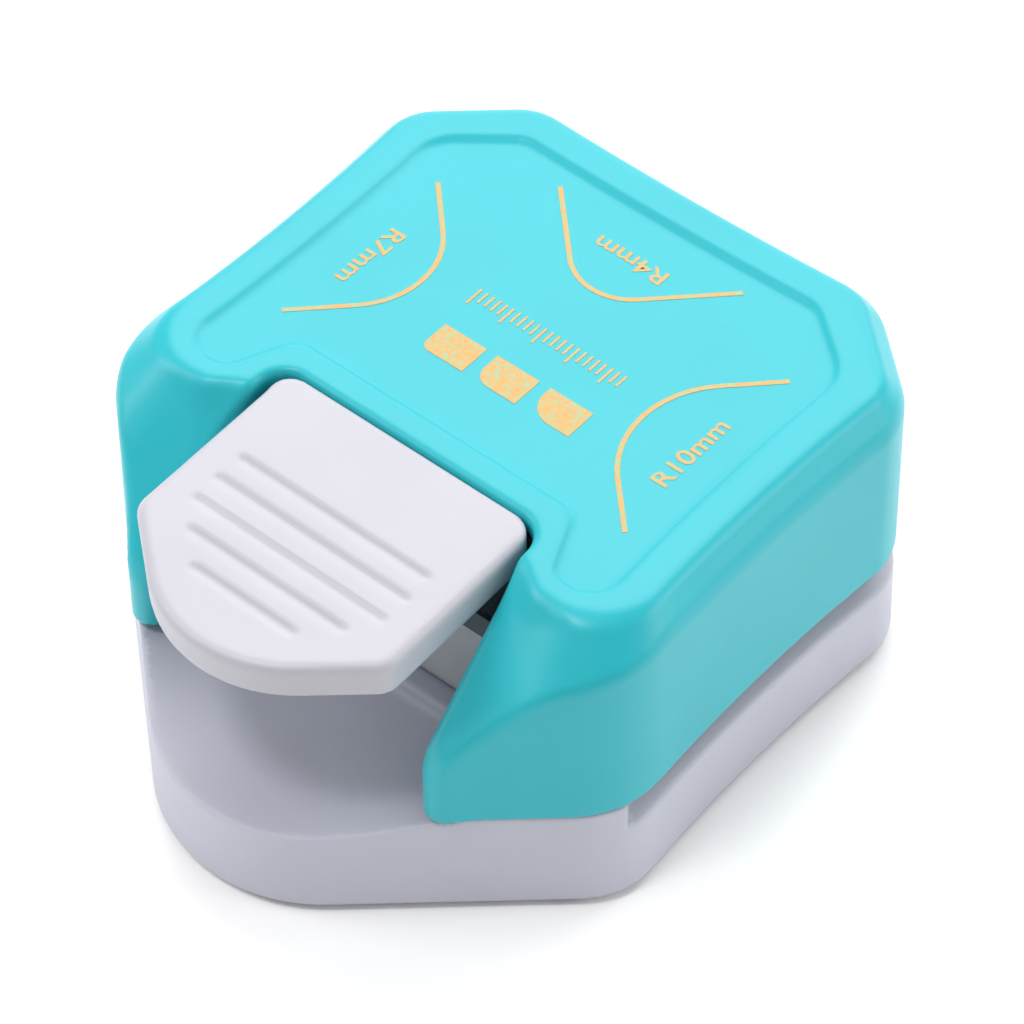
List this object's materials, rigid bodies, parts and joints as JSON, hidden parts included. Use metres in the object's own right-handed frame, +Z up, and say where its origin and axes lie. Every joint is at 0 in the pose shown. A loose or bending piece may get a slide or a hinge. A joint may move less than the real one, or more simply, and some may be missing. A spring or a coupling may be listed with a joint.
{
  "type": "corner rounder",
  "caption": "Hand corner rounder: a press lever drives three punches through side slots, each cutting a different corner radius, over a hinged chip cover.",
  "frame": {"origin": "on the table under the middle of the body", "axes": "+X right and +Y away from a person who faces the lever, +Z up"},
  "size_m": [0.0808, 0.094, 0.0442],
  "materials": {
    "housing_plastic": "moulded turquoise plastic, satin gloss",
    "gold_foil": "hot-stamped matt gold foil",
    "lever_plastic": "moulded off-white plastic, satin",
    "base_plastic": "moulded off-white plastic, satin",
    "frame_plastic": "moulded off-white plastic",
    "cover_plastic": "moulded off-white plastic, lightly textured",
    "carrier_plastic": "black glass-filled plastic",
    "plate_steel": "blanked steel plate",
    "punch_steel": "ground tool steel",
    "ground_steel": "ground steel pin",
    "spring_steel": "drawn spring steel",
    "screw_steel": "zinc-plated steel",
    "foot_rubber": "soft matt rubber"
  },
  "bodies": {
    "body": {"upper_housing": "housing_plastic", "corner_marks": "gold_foil", "lever_axle": "ground_steel", "axle_clips": "spring_steel", "base_tray": "base_plastic", "guide_frame": "frame_plastic", "stop_plate": "plate_steel", "die_plate": "plate_steel", "guide_pin_left": "ground_steel", "guide_pin_right": "ground_steel", "guide_pin_front": "ground_steel", "return_spring_left": "spring_steel", "return_spring_right": "spring_steel", "return_spring_front": "spring_steel", "frame_screws": "screw_steel", "housing_screws": "screw_steel", "cover_hinge_pins": "ground_steel", "rubber_foot_front_left": "foot_rubber", "rubber_foot_front_right": "foot_rubber", "rubber_foot_back_left": "foot_rubber", "rubber_foot_back_right": "foot_rubber"},
    "lever": {"press_lever": "lever_plastic", "pressure_pin": "ground_steel"},
    "carrier": {"punch_carrier": "carrier_plastic", "punch_right": "punch_steel", "punch_left": "punch_steel", "punch_back": "punch_steel", "wear_plate": "plate_steel", "wear_plate_screws": "screw_steel"},
    "cover": {"waste_cover": "cover_plastic"}
  },
  "joints": [
    {"name": "lever_press", "type": "hinge", "parent": "body", "child": "lever", "pos_m": [0, 0.032, 0.034], "axis": [1, 0, 0], "range_deg": [0, 9.6], "stiffness_Nm_per_rad": 1.1, "springref_deg": -9.74},
    {"name": "carrier_slide", "type": "slide", "parent": "body", "child": "carrier", "axis": [0, 0, -1], "range_m": [0, 0.0032], "deforming": ["return_spring_left", "return_spring_right", "return_spring_front"]},
    {"name": "cover_hinge", "type": "hinge", "parent": "body", "child": "cover", "pos_m": [0, 0.0405, 0.003], "axis": [1, 0, 0], "range_deg": [0, 100]}
  ],
  "couplings": [
    {"joint": "carrier_slide", "follows": "lever_press", "m_per_rad": 0.019}
  ]
}
